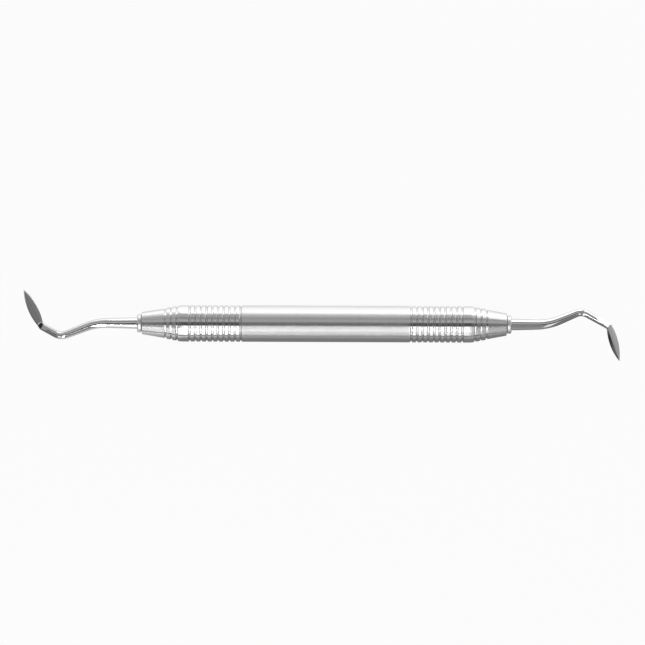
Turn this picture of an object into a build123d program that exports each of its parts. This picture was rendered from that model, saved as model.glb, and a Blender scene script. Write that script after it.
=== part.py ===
"""Double-ended clay modeling tool: a hollow grooved handle with a screw-in spear blade at each end.

Millimetres. The handle's axis is X, its centre is the origin, and the tool lies flat in the XY plane.
Each end is drawn on a plane whose x axis points outward along the handle, so "u" below is the distance
from the handle's centre, "v" is the sideways distance, to the side that the shank first bends to, and
the third direction, "w", is +Z. One end is the mirror image of the other, turned half round.
"""

import os
from math import cos, radians, sin

from build123d import *

# Handle tube
handle_radius = 5.0
wall = 1.0
joint_u = 37.4  # where the tube meets a nose, in the floor of the outermost groove
first_groove_u = 23.36
grip_shift = 0.5  # both grips sit this far to the right of the middle
grooves_per_side = 10
groove_width = 0.42
groove_depth = 0.34
groove_lip = 0.19  # rounding of a groove's two lips
groove_floor_corner = 0.12

# Nose: a wide band, two rings on the taper, then a plain cone
band_level_end_u = 39.2
band_end = (40.73, 4.86)
ring_line_start = (40.88, 4.79)
ring_line_end = (44.05, 4.22)
cone_start = (44.05, 4.10)
nose_u = 50.06
nose_radius = 3.07
nose_edge = 0.16
taper_grooves = ((40.88, 4.49), (42.47, 4.20), (44.05, 3.82))  # place and floor radius of each
taper_groove_lip = 0.14
taper_groove_corner = 0.08
spigot_length = 6.5
spigot_gap = 0.02  # room for the glue
spigot_bore_radius = 2.8
spigot_chamfer = 0.4
hollow_end_u = 41.0

# Screw joint between a tip and its nose
pitch = 0.5
thread_radius = 1.5
thread_core_radius = 1.19
thread_crest = 0.07
thread_root = 0.42
thread_length = 4.0
pilot_length = 0.75  # plain stem between the seal and the first turn
stem_end_length = 0.7
stem_chamfer = 0.3
thread_sink = 0.02
socket_clearance = 0.05
socket_spare = 0.5
drill_point = 0.9

# Seal and collar
seal_thickness = 0.18
seal_radius = 2.24
seal_edge = 0.07
collar_radius = 2.5
collar_length = 1.14
collar_front_edge = 0.36
collar_back_edge = 0.12

# Shank: a rod that thins from the collar to the blade
collar_seat_radius = 1.57
first_bend_radius = 1.35
first_bend_share = 0.3  # share of the shank's length that lies before its first bend
elbow_share = 0.72
neck_chamfer = 0.4
front_flat = {"length": 1.6, "half_thickness": 0.66, "roll": 0.0}
back_flat = {"length": 3.4, "half_thickness": 0.46, "roll": 34.0}  # roll turns it to the elbow's outer side

# Blade: a spear with a flat front, narrow front bevels and a ridged back
blade_length = 10.25
blade_tang = 0.4  # buried in the neck
blade_half_width = 1.55
blade_base_half_width = 0.96
widest_at = 4.9
front_bevel_width = 0.28
front_bevel_depth = 0.12
ridge_half_width = 0.1
ridge_depth_at_base = 0.76
ridge_slope = 3.6  # degrees

# The two ends. Corners of the shank are (u, v), and each has its bend radius. swing is the blade's angle
# from square to the handle, lean is how far its point drops towards its ridged back, and roll is its turn
# about its own length, in degrees.
ends = {
    "left": {
        "outward": -1,
        "front": 1,
        "corners": ((62.6, 0.0), (72.4, 3.78), (77.5, 1.06)),
        "bends": (16.0, 3.6, 0.9),
        "elbow_radius": 1.07,
        "neck_radius": 0.93,
        "blade_root": (78.2, 0.0),
        "swing": 26.4,
        "lean": 6.0,
        "roll": 28.0,
    },
    "right": {
        "outward": 1,
        "front": -1,
        "corners": ((61.6, 0.0), (70.75, 3.77), (77.6, -0.08)),
        "bends": (17.0, 3.4, 0.9),
        "elbow_radius": 1.0,
        "neck_radius": 0.83,
        "blade_root": (78.35, -0.6),
        "swing": 15.2,
        "lean": 20.0,
        "roll": 44.0,
    },
}

bore_radius = handle_radius - wall
groove_floor_radius = handle_radius - groove_depth
groove_pitch = (joint_u - first_groove_u) / (grooves_per_side - 1)
grooves = [first_groove_u + count * groove_pitch for count in range(grooves_per_side)]
seal_end_u = nose_u + seal_thickness
collar_end_u = seal_end_u + collar_length
thread_height = thread_radius - thread_core_radius + thread_sink
thread_start_u = seal_end_u - pilot_length
thread_end_u = thread_start_u - thread_length
stem_end_u = thread_end_u - stem_end_length
socket_radius = thread_radius + socket_clearance
socket_end_u = stem_end_u - socket_spare

os.makedirs("parts", exist_ok=True)


def end_plane(end):
    """The drawing plane of one end: x outward along the handle, z up."""
    return Plane(origin=(0, 0, 0), x_dir=(end["outward"], 0, 0), z_dir=(0, 0, 1))


def cut_groove(profile, u, floor_radius, lip, corner):
    """Cut one turned groove into a half profile and round its lips and its floor."""
    with Locations((u, floor_radius)):
        Rectangle(groove_width, handle_radius, align=(Align.CENTER, Align.MIN), mode=Mode.SUBTRACT)
    sides = [point for point in profile.vertices() if abs(abs(point.X - u) - groove_width / 2) < 0.001]
    fillet([point for point in sides if point.Y > floor_radius + lip], lip)
    fillet([point for point in sides if abs(point.Y - floor_radius) < 0.001], corner)


def leaf(half_width, base_half_width, point):
    """A spear outline about the y axis, from a straight base at the tang's end to a point."""
    with BuildSketch() as outline:
        with BuildLine():
            ThreePointArc((base_half_width, -blade_tang), (half_width, widest_at), (0, point))
            ThreePointArc((0, point), (-half_width, widest_at), (-base_half_width, -blade_tang))
            Line((-base_half_width, -blade_tang), (base_half_width, -blade_tang))
        make_face()
    return outline.sketch


def plane_of_blade(plane, end):
    """The plane of a blade's cutting edges: y along the blade, z out of its flat front."""
    swing = radians(end["swing"])
    lean = radians(end["lean"])
    roll = radians(end["roll"])
    outward_side = plane.x_dir * cos(swing) + plane.y_dir * sin(swing)
    level_length = plane.x_dir * sin(swing) - plane.y_dir * cos(swing)
    length = level_length * cos(lean) - plane.z_dir * (end["front"] * sin(lean))
    upright = length.cross(outward_side)
    front = outward_side * sin(roll) + upright * (end["front"] * cos(roll))
    return Plane(
        origin=plane.from_local_coords(end["blade_root"]), x_dir=length.cross(front), z_dir=front
    )


# Handle tube: one turned tube, smooth in the middle, with nine rings left between ten grooves at each end
with BuildPart() as handle_tube:
    with BuildSketch(Plane.XY) as tube_profile:
        with Locations((grip_shift, handle_radius - wall / 2)):
            Rectangle(2 * joint_u, wall)
        for groove in grooves:
            for place in (grip_shift - groove, grip_shift + groove):
                cut_groove(tube_profile, place, groove_floor_radius, groove_lip, groove_floor_corner)
    revolve(axis=Axis.X)
handle_tube.part.label = "handle_tube"
export_step(handle_tube.part, "parts/handle_tube.step")

for side, end in ends.items():
    plane = end_plane(end)
    shift = end["outward"] * grip_shift
    tube_end_u = joint_u + shift

    # Nose: a hollow spigot inside the tube, the banded taper outside, and the tip's socket in its face
    with BuildPart() as nose:
        with BuildSketch(plane) as nose_profile:
            taper = [(u + shift, v) for u, v in (band_end, ring_line_start, ring_line_end, cone_start)]
            with BuildLine():
                band = Line((tube_end_u, handle_radius), (band_level_end_u + shift, handle_radius))
                TangentArc(band @ 1, taper[0], tangent=band % 1)
                Polyline(*taper, (nose_u, nose_radius), (nose_u, 0), (tube_end_u, 0), band @ 0)
            make_face()
            cut_groove(nose_profile, tube_end_u, groove_floor_radius, groove_lip, groove_floor_corner)
            for groove, floor_radius in taper_grooves:
                cut_groove(nose_profile, groove + shift, floor_radius, taper_groove_lip, taper_groove_corner)
            face_corner = nose_profile.vertices().group_by(Axis.X)[-1].sort_by(Axis.Y)[-1]
            fillet(face_corner, nose_edge)
            with Locations((tube_end_u, 0)):
                Rectangle(spigot_length, bore_radius - spigot_gap, align=(Align.MAX, Align.MIN))
            spigot_corner = nose_profile.vertices().group_by(Axis.X)[0].sort_by(Axis.Y)[-1]
            chamfer(spigot_corner, spigot_chamfer)
            with Locations((hollow_end_u, 0)):
                Rectangle(hollow_end_u, spigot_bore_radius, align=(Align.MAX, Align.MIN), mode=Mode.SUBTRACT)
            with BuildLine():
                Polyline(
                    (nose_u, 0),
                    (nose_u, socket_radius),
                    (socket_end_u, socket_radius),
                    (socket_end_u - drill_point, 0),
                    close=True,
                )
            make_face(mode=Mode.SUBTRACT)
        revolve(axis=Axis.X)
    nose.part.label = f"{side}_nose_cone"
    export_step(nose.part, f"parts/{side}_nose_cone.step")

    # Seal: a thin flat ring round the stem, between the nose's face and the collar
    with BuildPart() as seal:
        with BuildSketch(plane) as seal_profile:
            with Locations((nose_u, socket_radius)):
                Rectangle(seal_thickness, seal_radius - socket_radius, align=(Align.MIN, Align.MIN))
            fillet(seal_profile.vertices().group_by(Axis.Y)[-1], seal_edge)
        revolve(axis=Axis.X)
    seal.part.label = f"{side}_seal_ring"
    export_step(seal.part, f"parts/{side}_seal_ring.step")

    # Collar: the polished shoulder pressed on the shank, which the screw pulls against the seal
    with BuildPart() as collar:
        with BuildSketch(plane) as collar_profile:
            with Locations((seal_end_u, collar_seat_radius)):
                Rectangle(collar_length, collar_radius - collar_seat_radius, align=(Align.MIN, Align.MIN))
            outer_corners = collar_profile.vertices().group_by(Axis.Y)[-1].sort_by(Axis.X)
            fillet(outer_corners[1], collar_front_edge)
            fillet(collar_profile.vertices().group_by(Axis.Y)[-1].sort_by(Axis.X)[0], collar_back_edge)
        revolve(axis=Axis.X)
    collar.part.label = f"{side}_collar"
    export_step(collar.part, f"parts/{side}_collar.step")

    # Working end: threaded stem, collar seat, bent shank and blade, forged and ground from one rod
    with BuildPart() as working_end:
        with BuildSketch(plane.rotated((45, 0, 0))):
            with BuildLine():
                Polyline(
                    (stem_end_u, 0),
                    (stem_end_u, thread_core_radius - stem_chamfer),
                    (stem_end_u + stem_chamfer, thread_core_radius),
                    (thread_start_u, thread_core_radius),
                    (thread_start_u, thread_radius),
                    (seal_end_u, thread_radius),
                    (seal_end_u, collar_seat_radius),
                    (collar_end_u, collar_seat_radius),
                    (collar_end_u, 0),
                    close=True,
                )
            make_face()
        revolve(axis=Axis.X)

        # Right-hand external thread: a ridge wound round the stem, sunk a little into its core
        with BuildLine() as thread_line:
            Helix(
                pitch=pitch,
                height=thread_length,
                radius=thread_core_radius - thread_sink,
                center=(end["outward"] * thread_end_u, 0, 0),
                direction=(end["outward"], 0, 0),
            )
        start = thread_line.line @ 0
        with BuildSketch(Plane(origin=start, x_dir=(0, start.Y, start.Z), z_dir=thread_line.line % 0)):
            with BuildLine():
                Polyline(
                    (0, -thread_root / 2),
                    (thread_height, -thread_crest / 2),
                    (thread_height, thread_crest / 2),
                    (0, thread_root / 2),
                    close=True,
                )
            make_face()
        sweep(path=thread_line.line, is_frenet=True)

        # Shank: a tapering rod along straight runs joined by bends
        with BuildLine(plane) as shank_line:
            FilletPolyline((collar_end_u, 0), *end["corners"], end["blade_root"], radius=end["bends"])
        shank_path = shank_line.wires()[0]
        shank_radii = (
            (0, collar_seat_radius),
            (first_bend_share, first_bend_radius),
            (elbow_share, end["elbow_radius"]),
            (1, end["neck_radius"]),
        )
        for place, radius in shank_radii:
            with BuildSketch(Plane(origin=shank_path @ place, x_dir=(0, 0, 1), z_dir=shank_path % place)):
                Circle(radius)
        sweep(path=shank_path, multisection=True)
        root = shank_path @ 1
        chamfer(working_end.faces().sort_by_distance(root)[0].edges(), neck_chamfer)

        # Ground flats on the last run, one on the blade's front side and one on its back, deepest at the neck
        elbow_corner = plane.from_local_coords(end["corners"][1])
        neck_corner = plane.from_local_coords(end["corners"][2])
        last_run = (neck_corner - elbow_corner).normalized()
        outer_side = plane.z_dir.cross(last_run)
        for flat, facing in ((front_flat, end["front"]), (back_flat, -end["front"])):
            roll = radians(flat["roll"])
            away = plane.z_dir * (facing * cos(roll)) + outer_side * sin(roll)
            flat_plane = Plane(origin=neck_corner, x_dir=last_run, z_dir=last_run.cross(away))
            with BuildSketch(flat_plane):
                with BuildLine():
                    Polyline(
                        (-flat["length"], end["neck_radius"]),
                        (0, flat["half_thickness"]),
                        (flat["length"], flat["half_thickness"]),
                        (flat["length"], 2 * end["neck_radius"]),
                        (-flat["length"], 2 * end["neck_radius"]),
                        close=True,
                    )
                make_face()
            extrude(amount=2 * end["neck_radius"], both=True, mode=Mode.SUBTRACT)

        # Blade: front flat, cutting edge and back ridge are three outlines joined by ruled faces
        blade_plane = plane_of_blade(plane, end)
        with BuildSketch(blade_plane.offset(front_bevel_depth)):
            front_half_width = blade_half_width - front_bevel_width
            front_base_half_width = blade_base_half_width - front_bevel_width
            add(leaf(front_half_width, front_base_half_width, blade_length - 2 * front_bevel_width))
        with BuildSketch(blade_plane):
            add(leaf(blade_half_width, blade_base_half_width, blade_length))
        with BuildSketch(blade_plane * Location((0, 0, -ridge_depth_at_base), (ridge_slope, 0, 0))):
            add(leaf(ridge_half_width, ridge_half_width / 2, blade_length - front_bevel_width))
        loft(ruled=True)
    working_end.part.label = f"{side}_working_end"
    export_step(working_end.part, f"parts/{side}_working_end.step")
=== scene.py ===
"""Looks of the double-ended clay modeling tool: its steels and seals, the floor, the studio and the camera.

Metres, in the CAD frame: X along the handle, +Z up out of the floor that the tool lies on.
"""

import math

import bpy
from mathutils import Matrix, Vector


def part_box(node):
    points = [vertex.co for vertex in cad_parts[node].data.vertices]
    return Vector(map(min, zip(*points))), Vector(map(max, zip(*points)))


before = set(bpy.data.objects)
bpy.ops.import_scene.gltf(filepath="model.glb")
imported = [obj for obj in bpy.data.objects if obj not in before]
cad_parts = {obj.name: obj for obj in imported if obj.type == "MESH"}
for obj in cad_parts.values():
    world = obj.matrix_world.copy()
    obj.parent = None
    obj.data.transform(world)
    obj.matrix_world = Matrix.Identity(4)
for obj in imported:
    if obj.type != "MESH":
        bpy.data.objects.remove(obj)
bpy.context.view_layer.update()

SIDES = ("left", "right")
MM = 0.001
FLOOR_Z = -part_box("handle_tube")[1].z  # the handle lies on the floor, and its axis is at Z = 0
GRIP_START = 23.0 * MM  # where the smooth middle ends and the rings begin, on the average of the two sides
BLADE_ROOT = {  # the middle of each blade's broad end, as the CAD places it
    "left": Vector((-0.0782, 0.0, 0.0)),
    "right": Vector((0.07835, -0.0006, 0.0)),
}

# Sockets of the Mix node, which has a set for numbers and a set for colours
NUMBER_A, NUMBER_B, NUMBER_RESULT = 2, 3, 0
COLOUR_A, COLOUR_B, COLOUR_RESULT = 6, 7, 2


# ---------------------------------------------------------------- node helpers
def start_tree(owner):
    """The empty node tree of a material or world."""
    owner.use_nodes = True
    tree = owner.node_tree
    tree.nodes.clear()
    return tree


def add(tree, kind, inputs=None, **settings):
    """A new node. Each input gets a value, or the socket that feeds it."""
    made = tree.nodes.new(f"ShaderNode{kind}")
    for name, value in settings.items():
        setattr(made, name, value)
    for name, value in (inputs or {}).items():
        if isinstance(value, bpy.types.NodeSocket):
            tree.links.new(value, made.inputs[name])
        else:
            made.inputs[name].default_value = value
    return made


def maths(tree, operation, *values):
    """The result socket of a Math node."""
    return add(tree, "Math", dict(enumerate(values)), operation=operation).outputs[0]


def split(tree, vector):
    """The X, Y and Z sockets of a vector."""
    return add(tree, "SeparateXYZ", {0: vector}).outputs


def remap(tree, value, from_min, from_max, to_min, to_max):
    """A value carried from one range to another, held at the ends."""
    limits = {"From Min": from_min, "From Max": from_max, "To Min": to_min, "To Max": to_max}
    return add(tree, "MapRange", {"Value": value, **limits}).outputs[0]


def graded(tree, value, low, high, stops):
    """A grey that follows a value from low to high, by (value, grey) stops."""
    node = add(tree, "ValToRGB", {"Fac": remap(tree, value, low, high, 0, 1)})
    elements = node.color_ramp.elements
    while len(elements) < len(stops):
        elements.new(0.5)
    for element, (at, grey) in zip(elements, stops):
        element.position = (at - low) / (high - low)
        element.color = (grey, grey, grey, 1)
    return node.outputs["Color"]


def noise(tree, vector, scale, detail=2.0):
    """Soft noise between 0 and 1, with a mean of about a half and its scale in patches per metre."""
    return add(tree, "TexNoise", {"Vector": vector, "Scale": scale, "Detail": detail}).outputs[0]


def blended(tree, amount, value_a, value_b):
    """A number between two, by a 0 to 1 amount."""
    mix = add(tree, "Mix", {0: amount, NUMBER_A: value_a, NUMBER_B: value_b})
    return mix.outputs[NUMBER_RESULT]


def tinted(tree, amount, dark, light):
    """A colour between two, by a 0 to 1 amount."""
    ends = {COLOUR_A: (*dark, 1), COLOUR_B: (*light, 1)}
    return add(tree, "Mix", {"Factor": amount, **ends}, data_type="RGBA").outputs[COLOUR_RESULT]


def darkened(tree, colour, amount):
    """A colour multiplied by a grey amount."""
    factors = {"Factor": 1.0, COLOUR_A: colour, COLOUR_B: amount}
    mix = add(tree, "Mix", factors, data_type="RGBA", blend_type="MULTIPLY")
    return mix.outputs[COLOUR_RESULT]


# ---------------------------------------------------------------- studio
# Greys round the tent, at degrees from straight up towards +Y: beside the handle, and off its two ends
STRIPS = (
    (-180, 0.3), (-100, 0.38), (-60, 0.34), (-30, 0.26), (-22, 0.42), (-17, 0.42), (-13, 0.03), (7, 0.03),
    (10, 0.4), (13, 0.62), (19, 0.62), (24, 0.42), (32, 0.4), (34, 0.12), (37, 0.12), (39, 0.42), (54, 0.44),
    (60, 0.55), (70, 0.9), (90, 0.95), (180, 0.95),
)
END_STRIPS = ((-180, 0.2), (-70, 0.2), (-20, 0.24), (10, 0.4), (30, 0.54), (90, 0.5), (180, 0.4))
# How far the greys off the ends take over, by the X part of the direction
END_SHARE = ((-1, 1), (-0.35, 1), (-0.27, 0), (0.28, 0), (0.36, 1), (1, 1))

# Softboxes: name, lowest and highest degrees from straight up towards +Y, distance, X from and to, brightness
CARDS = (
    ("key_softbox", 68, 96, 0.42, -0.101, 0.06, 1.4),
    ("right_key_softbox", 66, 96, 0.2, 0.06, 0.11, 1.4),
    ("right_flat_softbox", 52, 96, 0.42, 0.2, 0.55, 1.5),
    ("handle_near_softbox", -29, -15, 0.3, -0.051, 0.05, 3.1),
    ("handle_far_softbox", -50, -30, 1.5, -0.18, 0.0, 9.5),
    ("handle_low_softbox", -76, -50, 1.5, -0.18, 0.03, 4.0),
    ("left_softbox", -80, -38, 0.2, -0.088, -0.064, 1.5),
    ("left_nose_softbox", -80, -34, 0.2, -0.135, -0.1, 0.95),
    ("right_nose_softbox", -75, -25, 0.2, 0.105, 0.135, 0.8),
)

# The floor as the steel sees it, a painted glow with painted shadow in front, by millimetres from the
# handle's middle. Glow across the handle:
FLOOR_GLOW = ((-60, 0.55), (-30, 0.3), (-6, 0.25), (6, 0.8), (12, 1.2), (22, 1.5))
# In front of the tool, which starts over FRONT_EDGE, the glow is multiplied by this along the handle
FRONT_EDGE = (-1.5, 0.5)
FRONT_ALONG = ((-84, 0.3), (-74, 2.4), (-50, 2.4), (-42, 1.0))
# Painted shade: a dark patch in front of the right working end, along and across the handle
PATCH_ALONG = ((64, 0), (68, 1), (76, 1), (80, 0))
PATCH_ACROSS = ((-20, 0), (-14, 1), (-4, 1), (-1, 0))
PATCH_DEPTH = 0.95
BANDS_REACH = 100.0  # every stop above lies this near the middle
FLOOR_HALF_WIDTH = 4.0
PAPER_GREY = 0.9
PAPER_GLOW_SHARE = 0.93  # of what the camera sees, the part that is plain white and takes no shadow


def make_world():
    """A soft tent: strips of grey that run along the handle, closed by plainer grey at its two ends.

    The camera itself sees plain white behind the tool.
    """
    world = bpy.data.worlds.new("studio")
    bpy.context.scene.world = world
    tree = start_tree(world)
    direction = split(tree, add(tree, "TexCoord").outputs["Generated"])
    turn = maths(tree, "ARCTAN2", direction["Y"], direction["Z"])
    beside, off_ends = (
        graded(tree, turn, -math.pi, math.pi, [(math.radians(degrees), grey) for degrees, grey in strips])
        for strips in (STRIPS, END_STRIPS)
    )
    end_share = graded(tree, direction["X"], -1, 1, END_SHARE)
    tent = add(tree, "Mix", {"Factor": end_share, COLOUR_A: beside, COLOUR_B: off_ends}, data_type="RGBA")
    light = add(tree, "Background", {"Color": tent.outputs[COLOUR_RESULT]})
    plain = add(tree, "Background", {"Color": (1, 1, 1, 1)})
    seen = add(tree, "LightPath").outputs["Is Camera Ray"]
    mixed = add(tree, "MixShader", {0: seen, 1: light.outputs[0], 2: plain.outputs[0]})
    add(tree, "OutputWorld", {"Surface": mixed.outputs[0]})


def make_card(name, low, high, distance, x_from, x_to, brightness):
    """A softbox whose face looks at the handle's axis. The camera doesn't see it."""
    card = bpy.data.lights.new(name, "AREA")
    card.shape = "RECTANGLE"
    card.size = x_to - x_from
    card.size_y = 2 * distance * math.tan(math.radians((high - low) / 2))
    card.energy = brightness * math.pi * card.size * card.size_y
    lamp = bpy.data.objects.new(name, card)
    turn = math.radians((low + high) / 2)
    lamp.location = ((x_from + x_to) / 2, distance * math.sin(turn), distance * math.cos(turn))
    lamp.rotation_euler = (-turn, 0, 0)
    lamp.visible_camera = False
    bpy.context.scene.collection.objects.link(lamp)


def floor_bands(tree):
    """The floor's painted glow, grey and strength as the steel sees it: bright behind the tool and dim in
    front, a painted shadow.
    """

    def band(value, stops):
        stops_in_metres = [(at * MM, grey) for at, grey in stops]
        return graded(tree, value, -BANDS_REACH * MM, BANDS_REACH * MM, stops_in_metres)

    place = split(tree, add(tree, "TexCoord").outputs["Object"])
    # Painted light and shade: the floor glows brighter behind the tool and dimmer in front, a painted shadow
    glow = band(place["Y"], FLOOR_GLOW)
    in_front = remap(tree, place["Y"], FRONT_EDGE[0] * MM, FRONT_EDGE[1] * MM, 1, 0)
    uneven = maths(tree, "SUBTRACT", band(place["X"], FRONT_ALONG), 1.0)
    level = maths(tree, "MULTIPLY_ADD", in_front, uneven, 1.0)
    # Painted shade: a dark patch darkens the glow near the right working end
    painted_shade_patch = maths(tree, "MULTIPLY", band(place["X"], PATCH_ALONG), band(place["Y"], PATCH_ACROSS))
    strength = maths(tree, "MULTIPLY", level, maths(tree, "MULTIPLY_ADD", painted_shade_patch, -PATCH_DEPTH, 1.0))
    return glow, strength


def make_floor():
    """A table that the camera sees all but evenly white, and the steel sees as bands of painted glow and
    painted shadow.
    """
    half = FLOOR_HALF_WIDTH
    corners = [(-half, -half, FLOOR_Z), (half, -half, FLOOR_Z), (half, half, FLOOR_Z), (-half, half, FLOOR_Z)]
    mesh = bpy.data.meshes.new("floor")
    mesh.from_pydata(corners, [], [(0, 1, 2, 3)])
    floor = bpy.data.objects.new("floor", mesh)
    bpy.context.scene.collection.objects.link(floor)
    paint = bpy.data.materials.new("floor_paint")
    tree = start_tree(paint)
    glow, strength = floor_bands(tree)
    # The painted glow: an emission that only the steel's reflections see
    painted_glow = add(tree, "Emission", {"Color": glow, "Strength": strength})
    paper = add(tree, "BsdfDiffuse", {"Color": (PAPER_GREY, PAPER_GREY, PAPER_GREY, 1)})
    white = add(tree, "Emission", {"Color": (1, 1, 1, 1), "Strength": 1.0})
    shown = add(tree, "MixShader", {0: PAPER_GLOW_SHARE, 1: paper.outputs[0], 2: white.outputs[0]})
    seen = add(tree, "LightPath").outputs["Is Camera Ray"]
    mixed = add(tree, "MixShader", {0: seen, 1: painted_glow.outputs[0], 2: shown.outputs[0]})
    add(tree, "OutputMaterial", {"Surface": mixed.outputs[0]})
    mesh.materials.append(paint)


# ---------------------------------------------------------------- materials
# Each pair is the darker and lighter colour, or the smoother and rougher finish, that noise moves between
TURNED_COLOURS = ((0.62, 0.62, 0.625), (0.74, 0.74, 0.735))
SHANK_COLOURS = ((0.66, 0.66, 0.665), (0.74, 0.74, 0.735))
RUBBER_COLOURS = ((0.2, 0.2, 0.205), (0.3, 0.3, 0.305))
SATIN_ROUGHNESS = (0.34, 0.42)
BRIGHT_ROUGHNESS = (0.2, 0.27)
SHANK_ROUGHNESS = (0.025, 0.05)
BLADE_ROUGHNESS = (0.18, 0.3)
RUBBER_ROUGHNESS = (0.55, 0.75)

# Greys that a colour is multiplied by
GROOVE_SHADE_TONES = (0.4, 1.0)  # painted shade, from deep in a groove to open metal
BLADE_SHEEN_TONES = (0.74, 1.14)  # painted sheen, from darker at the blade's edge nearer -X to lighter at the one nearer +X
STROKE_TONES = (0.8, 1.12)  # along the blade, from one grinding stroke to the next

GROOVE_REACH = 0.25 * MM  # how near a wall has to be for the painted shade to darken a groove
BLADE_HALF_WIDTH = 1.4 * MM
ROUND_X = (1.0, 0.02, 0.02)  # noise squeezed so in Y and Z draws lines round the handle's axis


def start_material(name):
    """A new material, its tree and its object coordinates in metres."""
    material = bpy.data.materials.new(name)
    tree = start_tree(material)
    return material, tree, add(tree, "TexCoord").outputs["Object"]


def finish_steel(tree, colour, roughness, height, height_mm, edge_mm, constants=None):
    """The steel's shader, with its corners worn round by edge_mm. Constants go straight on its sockets."""
    worn = add(tree, "Bevel", {"Radius": edge_mm * MM}, samples=6).outputs[0]
    relief = {"Strength": 1.0, "Distance": height_mm * MM, "Height": height, "Normal": worn}
    bump = add(tree, "Bump", relief).outputs[0]
    surface = {"Base Color": colour, "Roughness": roughness, "Metallic": 1.0, "Normal": bump}
    shader = add(tree, "BsdfPrincipled", {**surface, **(constants or {})})
    add(tree, "OutputMaterial", {"Surface": shader.outputs[0]})
    return shader


def turned_steel():
    """Steel turned on a lathe: satin in the middle of the handle, brighter over the rings and noses, with
    painted shade in the grooves.
    """
    material, tree, place = start_material("turned_steel")
    from_middle = maths(tree, "ABSOLUTE", split(tree, place)["X"])
    shiny = remap(tree, from_middle, GRIP_START - 0.2 * MM, GRIP_START + 0.6 * MM, 0, 1)
    line_place = add(tree, "Mapping", {"Vector": place, "Scale": ROUND_X}).outputs[0]
    lines = noise(tree, line_place, 9000.0, 3.0)
    streaks = noise(tree, line_place, 1100.0)
    clouds = noise(tree, place, 160.0)
    tone = maths(tree, "ADD", maths(tree, "MULTIPLY", streaks, 0.6), maths(tree, "MULTIPLY", clouds, 0.4))
    # Painted shade: ambient occlusion darkens the colour deep in the grooves
    hollows = add(tree, "AmbientOcclusion", {"Distance": GROOVE_REACH}, samples=8, only_local=True)
    painted_groove_shade = remap(tree, hollows.outputs["AO"], 0.25, 0.9, *GROOVE_SHADE_TONES)
    colour = darkened(tree, tinted(tree, tone, *TURNED_COLOURS), painted_groove_shade)
    satin = remap(tree, streaks, 0.2, 0.8, *SATIN_ROUGHNESS)
    bright = remap(tree, streaks, 0.2, 0.8, *BRIGHT_ROUGHNESS)
    roughness = blended(tree, shiny, satin, bright)
    turning = {"Anisotropic": 0.9, "Anisotropic Rotation": 0.25}
    shader = finish_steel(tree, colour, roughness, lines, 0.0015, 0.05, turning)
    around = add(tree, "Tangent", direction_type="RADIAL", axis="X")
    tree.links.new(around.outputs[0], shader.inputs["Tangent"])
    return material


def blade_directions(side):
    """Unit vectors along the blade, from root to point, and square to it in plan, towards +X."""
    root = BLADE_ROOT[side]
    corners = [vertex.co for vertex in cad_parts[f"{side}_working_end"].data.vertices]
    beyond_root = [corner for corner in corners if abs(corner.x) > abs(root.x)]
    point = max(beyond_root, key=lambda corner: (corner - root).length)
    along = (point - root).normalized()
    sideways = Vector((abs(along.y), -along.x * math.copysign(1, along.y), 0)).normalized()
    return along, sideways


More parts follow.
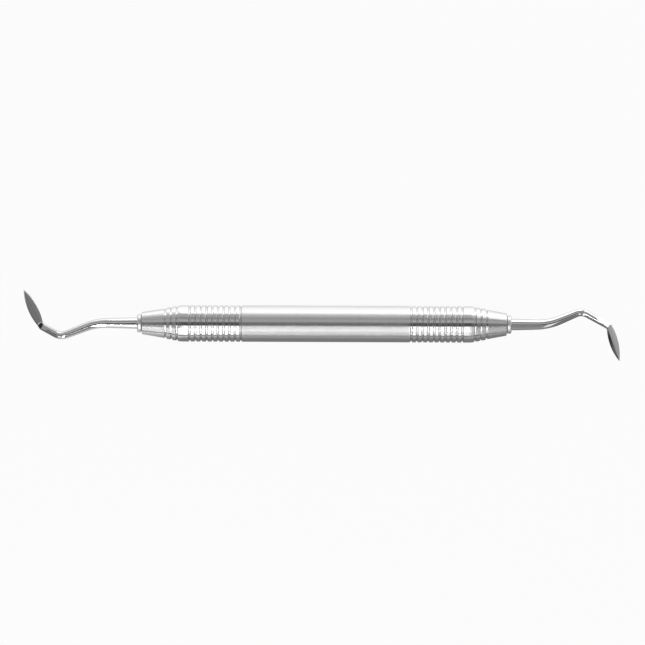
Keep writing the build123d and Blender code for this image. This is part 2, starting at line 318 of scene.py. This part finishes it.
def rod_steel(side):
    """The working end: a polished shank that turns into a blade ground along its length, with a painted sheen
    across the blade.
    """
    material, tree, place = start_material(f"{side}_rod_steel")
    reach = add(tree, "VectorMath", {0: place, 1: tuple(BLADE_ROOT[side])}, operation="SUBTRACT").outputs[0]
    distance, aside = (
        add(tree, "VectorMath", {0: reach, 1: tuple(way)}, operation="DOT_PRODUCT").outputs["Value"]
        for way in blade_directions(side)
    )
    on_blade = remap(tree, distance, -0.2 * MM, 0.1 * MM, 0, 1)
    stroke_place = add(tree, "CombineXYZ", {0: aside, 1: maths(tree, "MULTIPLY", distance, 0.05)}).outputs[0]
    strokes = noise(tree, stroke_place, 2400.0, 3.0)
    haze = noise(tree, place, 700.0)
    marks = blended(tree, on_blade, haze, strokes)
    # Painted sheen: the blade's colour is darker at one edge and lighter at the other, times the grinding
    # strokes
    painted_sheen_across = remap(tree, aside, -BLADE_HALF_WIDTH, BLADE_HALF_WIDTH, *BLADE_SHEEN_TONES)
    sheen_and_strokes = maths(tree, "MULTIPLY", painted_sheen_across, remap(tree, strokes, 0.3, 0.7, *STROKE_TONES))
    colour = darkened(tree, tinted(tree, marks, *SHANK_COLOURS), blended(tree, on_blade, 1.0, sheen_and_strokes))
    polish = remap(tree, haze, 0.25, 0.75, *SHANK_ROUGHNESS)
    cut = remap(tree, strokes, 0.25, 0.75, *BLADE_ROUGHNESS)
    roughness = blended(tree, on_blade, polish, cut)
    height = maths(tree, "MULTIPLY", strokes, on_blade)
    finish_steel(tree, colour, roughness, height, 0.0008, 0.14)
    return material


def seal_rubber():
    """Dark matt washer."""
    material, tree, place = start_material("seal_rubber")
    grain = noise(tree, place, 4000.0)
    colour = tinted(tree, grain, *RUBBER_COLOURS)
    bump = add(tree, "Bump", {"Strength": 1.0, "Distance": 0.003 * MM, "Height": grain}).outputs[0]
    roughness = remap(tree, grain, 0.2, 0.8, *RUBBER_ROUGHNESS)
    shader = add(tree, "BsdfPrincipled", {"Base Color": colour, "Roughness": roughness, "Normal": bump})
    add(tree, "OutputMaterial", {"Surface": shader.outputs[0]})
    return material


def assign(node, material):
    """Give a CAD node its only material."""
    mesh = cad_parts[node].data
    mesh.materials.clear()
    mesh.materials.append(material)


# The collars keep the plain polished steel of the record, which they are loaded with
turned = turned_steel()
rubber = seal_rubber()
assign("handle_tube", turned)
for side in SIDES:
    assign(f"{side}_nose_cone", turned)
    assign(f"{side}_seal_ring", rubber)
    assign(f"{side}_working_end", rod_steel(side))

make_world()
make_floor()
for card in CARDS:
    make_card(*card)

# Camera: straight above the tool, far off with a long lens
VIEW_WIDTH = 0.1772  # across the picture, at the handle's axis
VIEW_CENTRE = (-0.00048, 0.00038)
VIEW_TURN = math.radians(0.22)
camera_data = bpy.data.cameras.new("camera")
camera_data.sensor_width = 36.0
camera_data.lens = 200.0
camera_data.clip_start = 0.01
camera_data.clip_end = 20.0
camera = bpy.data.objects.new("camera", camera_data)
camera.location = (*VIEW_CENTRE, VIEW_WIDTH * camera_data.lens / camera_data.sensor_width)
camera.rotation_euler = (0, 0, VIEW_TURN)
bpy.context.scene.collection.objects.link(camera)
bpy.context.scene.camera = camera
bpy.context.scene.view_settings.view_transform = "Standard"
